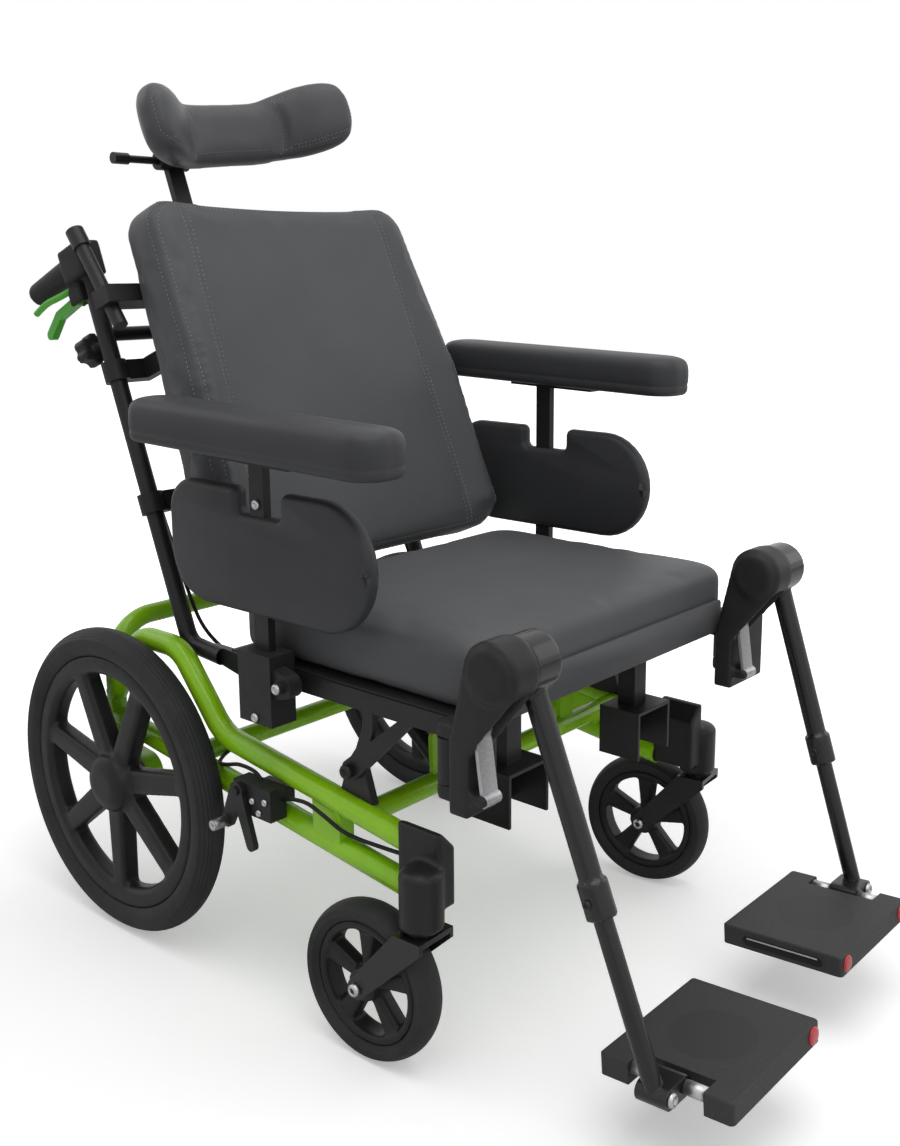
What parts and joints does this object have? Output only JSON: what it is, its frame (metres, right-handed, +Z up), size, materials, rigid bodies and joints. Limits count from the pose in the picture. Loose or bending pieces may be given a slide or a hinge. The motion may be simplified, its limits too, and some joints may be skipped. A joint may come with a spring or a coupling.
{
  "type": "reclining wheelchair",
  "caption": "Tilt-in-space reclining wheelchair with small moulded rear wheels, casters, padded seat and back, wrap-around headrest, height-adjustable armrests and elevating legrests.",
  "frame": {"origin": "on the floor under the middle of the chair's overall length and width", "axes": "+Z up, -Y the way the chair faces, +X the sitter's left"},
  "size_m": [0.636, 1.1042, 1.1017],
  "materials": {
    "green_paint": "gloss lime-green paint",
    "black_paint": "satin black paint",
    "black_plastic": "moulded black plastic",
    "rim_plastic": "moulded black plastic, slightly glossy",
    "tyre_rubber": "solid dark rubber",
    "steel": "bright plated steel",
    "cushion_cover": "charcoal coated fabric with light stitching",
    "pad_cover": "black moulded foam skin",
    "grip_rubber": "black rubber",
    "green_lever": "lime-green moulded lever"
  },
  "bodies": {
    "chassis": {"upper_rails": "green_paint", "lower_rails": "green_paint", "rear_hoop": "green_paint", "cross_tubes": "green_paint", "axle_brackets": "green_paint", "rear_axles": "steel", "caster_heads": "black_paint", "tilt_brackets": "black_paint", "brake_bodies": "black_plastic"},
    "seat": {"seat_rails": "black_paint", "seat_cross_bars": "black_paint", "seat_plate": "black_plastic", "seat_cushion": "cushion_cover", "tilt_links": "black_paint", "front_posts": "black_paint", "armrest_sockets": "black_plastic", "recline_cylinder": "black_paint"},
    "back": {"back_tubes": "black_paint", "back_cross_bar": "black_paint", "back_shell": "black_plastic", "back_cushion": "cushion_cover", "handle_knobs": "black_plastic"},
    "tilt_cylinder": {"tilt_cylinder": "black_paint"},
    "tilt_rod": {"tilt_rod": "steel"},
    "recline_rod": {"recline_rod": "steel"},
    "headrest_post": {"headrest_post": "black_paint"},
    "headrest": {"headrest_pad": "cushion_cover", "headrest_bracket": "black_paint"},
    "rear_wheel_right": {"rear_rim_right": "rim_plastic", "rear_tyre_right": "tyre_rubber"},
    "caster_fork_right": {"caster_fork_right": "black_paint"},
    "caster_wheel_right": {"caster_rim_right": "rim_plastic", "caster_tyre_right": "tyre_rubber"},
    "brake_lever_right": {"brake_lever_right": "black_paint"},
    "armrest_right": {"armrest_post_right": "black_paint", "armrest_pad_right": "pad_cover", "side_panel_right": "pad_cover"},
    "push_handle_right": {"push_handle_right": "grip_rubber"},
    "release_lever_right": {"release_lever_right": "green_lever"},
    "legrest_right": {"legrest_hanger_right": "black_plastic"},
    "latch_right": {"latch_lever_right": "steel"},
    "leg_upper_right": {"leg_upper_right": "black_paint"},
    "leg_lower_right": {"leg_lower_right": "black_paint"},
    "footplate_right": {"footplate_right": "black_plastic"},
    "rear_wheel_left": {"rear_rim_left": "rim_plastic", "rear_tyre_left": "tyre_rubber"},
    "caster_fork_left": {"caster_fork_left": "black_paint"},
    "caster_wheel_left": {"caster_rim_left": "rim_plastic", "caster_tyre_left": "tyre_rubber"},
    "brake_lever_left": {"brake_lever_left": "black_paint"},
    "armrest_left": {"armrest_post_left": "black_paint", "armrest_pad_left": "pad_cover", "side_panel_left": "pad_cover"},
    "push_handle_left": {"push_handle_left": "grip_rubber"},
    "release_lever_left": {"release_lever_left": "green_lever"},
    "legrest_left": {"legrest_hanger_left": "black_plastic"},
    "latch_left": {"latch_lever_left": "steel"},
    "leg_upper_left": {"leg_upper_left": "black_paint"},
    "leg_lower_left": {"leg_lower_left": "black_paint"},
    "footplate_left": {"footplate_left": "black_plastic"}
  },
  "joints": [
    {"name": "seat_tilt", "type": "hinge", "parent": "chassis", "child": "seat", "pos_m": [0, -0.07886, 0.308], "axis": [-1, 0, 0], "range_deg": [0, 12]},
    {"name": "tilt_cylinder_swing", "type": "hinge", "parent": "chassis", "child": "tilt_cylinder", "pos_m": [-0.07, -0.06486, 0.234], "axis": [-1, 0, 0], "range_deg": [0, 10.6]},
    {"name": "tilt_rod_slide", "type": "slide", "parent": "tilt_cylinder", "child": "tilt_rod", "axis": [0, 0.7579, 0.6524], "range_m": [-0.0152, 0]},
    {"name": "back_recline", "type": "hinge", "parent": "seat", "child": "back", "pos_m": [0, 0.14414, 0.372], "axis": [-1, 0, 0], "range_deg": [-6, 10]},
    {"name": "recline_rod_slide", "type": "slide", "parent": "seat", "child": "recline_rod", "axis": [0, 0.9939, -0.1099], "range_m": [-0.0056, 0.0034]},
    {"name": "headrest_height", "type": "slide", "parent": "back", "child": "headrest_post", "axis": [0, 0.3584, 0.9336], "range_m": [-0.04, 0.055]},
    {"name": "headrest_nod", "type": "hinge", "parent": "headrest_post", "child": "headrest", "pos_m": [-0.062, 0.44715, 0.98835], "axis": [1, 0, 0], "range_deg": [-20, 10]},
    {"name": "rear_wheel_right", "type": "hinge", "parent": "chassis", "child": "rear_wheel_right", "pos_m": [-0.2825, 0.31914, 0.2], "axis": [1, 0, 0], "continuous": true},
    {"name": "caster_swivel_right", "type": "hinge", "parent": "chassis", "child": "caster_fork_right", "pos_m": [-0.2735, -0.20586, 0.2], "axis": [0, 0, 1], "continuous": true},
    {"name": "caster_roll_right", "type": "hinge", "parent": "caster_fork_right", "child": "caster_wheel_right", "pos_m": [-0.27601, -0.1339, 0.09], "axis": [0.9994, 0.0349, 0], "continuous": true},
    {"name": "brake_right", "type": "hinge", "parent": "chassis", "child": "brake_lever_right", "pos_m": [-0.287, 0.07214, 0.255], "axis": [1, 0, 0], "range_deg": [0, 38]},
    {"name": "armrest_height_right", "type": "slide", "parent": "seat", "child": "armrest_right", "axis": [0, 0, 1], "range_m": [0, 0.06]},
    {"name": "handle_height_right", "type": "slide", "parent": "back", "child": "push_handle_right", "axis": [0, 0.3584, 0.9336], "range_m": [-0.025, 0.08]},
    {"name": "release_lever_right", "type": "hinge", "parent": "push_handle_right", "child": "release_lever_right", "pos_m": [-0.216, 0.45157, 0.80456], "axis": [1, 0, 0], "range_deg": [0, 12], "stiffness_Nm_per_rad": 0.4, "springref_deg": -11.46},
    {"name": "legrest_swing_right", "type": "hinge", "parent": "seat", "child": "legrest_right", "pos_m": [-0.268, -0.24286, 0.37], "axis": [0, 0, -1], "range_deg": [0, 90]},
    {"name": "latch_right", "type": "hinge", "parent": "legrest_right", "child": "latch_right", "pos_m": [-0.283, -0.30686, 0.35], "axis": [1, 0, 0], "range_deg": [0, 20], "stiffness_Nm_per_rad": 0.5, "springref_deg": -11.46},
    {"name": "leg_raise_right", "type": "hinge", "parent": "legrest_right", "child": "leg_upper_right", "pos_m": [-0.2457, -0.32086, 0.48], "axis": [-1, 0, 0], "range_deg": [-10, 60]},
    {"name": "leg_length_right", "type": "slide", "parent": "leg_upper_right", "child": "leg_lower_right", "axis": [0, -0.3746, -0.9272], "range_m": [-0.042, 0.068]},
    {"name": "footplate_flip_right", "type": "hinge", "parent": "leg_lower_right", "child": "footplate_right", "pos_m": [-0.2197, -0.47819, 0.09058], "axis": [0, -0.9976, 0.0698], "range_deg": [0, 90]},
    {"name": "rear_wheel_left", "type": "hinge", "parent": "chassis", "child": "rear_wheel_left", "pos_m": [0.2825, 0.31914, 0.2], "axis": [1, 0, 0], "continuous": true},
    {"name": "caster_swivel_left", "type": "hinge", "parent": "chassis", "child": "caster_fork_left", "pos_m": [0.2735, -0.20586, 0.2], "axis": [0, 0, 1], "continuous": true},
    {"name": "caster_roll_left", "type": "hinge", "parent": "caster_fork_left", "child": "caster_wheel_left", "pos_m": [0.26348, -0.13456, 0.09], "axis": [0.9903, 0.1392, 0], "continuous": true},
    {"name": "brake_left", "type": "hinge", "parent": "chassis", "child": "brake_lever_left", "pos_m": [0.287, 0.07214, 0.255], "axis": [1, 0, 0], "range_deg": [0, 38]},
    {"name": "armrest_height_left", "type": "slide", "parent": "seat", "child": "armrest_left", "axis": [0, 0, 1], "range_m": [-0.038, 0.022]},
    {"name": "handle_height_left", "type": "slide", "parent": "back", "child": "push_handle_left", "axis": [0, 0.3584, 0.9336], "range_m": [-0.025, 0.08]},
    {"name": "release_lever_left", "type": "hinge", "parent": "push_handle_left", "child": "release_lever_left", "pos_m": [0.216, 0.45157, 0.80456], "axis": [1, 0, 0], "range_deg": [0, 12], "stiffness_Nm_per_rad": 0.4, "springref_deg": -11.46},
    {"name": "legrest_swing_left", "type": "hinge", "parent": "seat", "child": "legrest_left", "pos_m": [0.268, -0.24286, 0.37], "axis": [0, 0, 1], "range_deg": [0, 90]},
    {"name": "latch_left", "type": "hinge", "parent": "legrest_left", "child": "latch_left", "pos_m": [0.217, -0.30686, 0.35], "axis": [1, 0, 0], "range_deg": [0, 20], "stiffness_Nm_per_rad": 0.5, "springref_deg": -11.46},
    {"name": "leg_raise_left", "type": "hinge", "parent": "legrest_left", "child": "leg_upper_left", "pos_m": [0.2543, -0.32086, 0.48], "axis": [-1, 0, 0], "range_deg": [-6, 64]},
    {"name": "leg_length_left", "type": "slide", "parent": "leg_upper_left", "child": "leg_lower_left", "axis": [0, -0.309, -0.9511], "range_m": [-0.03, 0.08]},
    {"name": "footplate_flip_left", "type": "hinge", "parent": "leg_lower_left", "child": "footplate_left", "pos_m": [0.2283, -0.44694, 0.09197], "axis": [0, 0.9976, -0.0698], "range_deg": [0, 90]}
  ],
  "couplings": [
    {"joint": "tilt_cylinder_swing", "follows": "seat_tilt", "ratio": 0.861},
    {"joint": "tilt_rod_slide", "follows": "seat_tilt", "m_per_rad": -0.0699},
    {"joint": "recline_rod_slide", "follows": "back_recline", "m_per_rad": -0.0298}
  ]
}
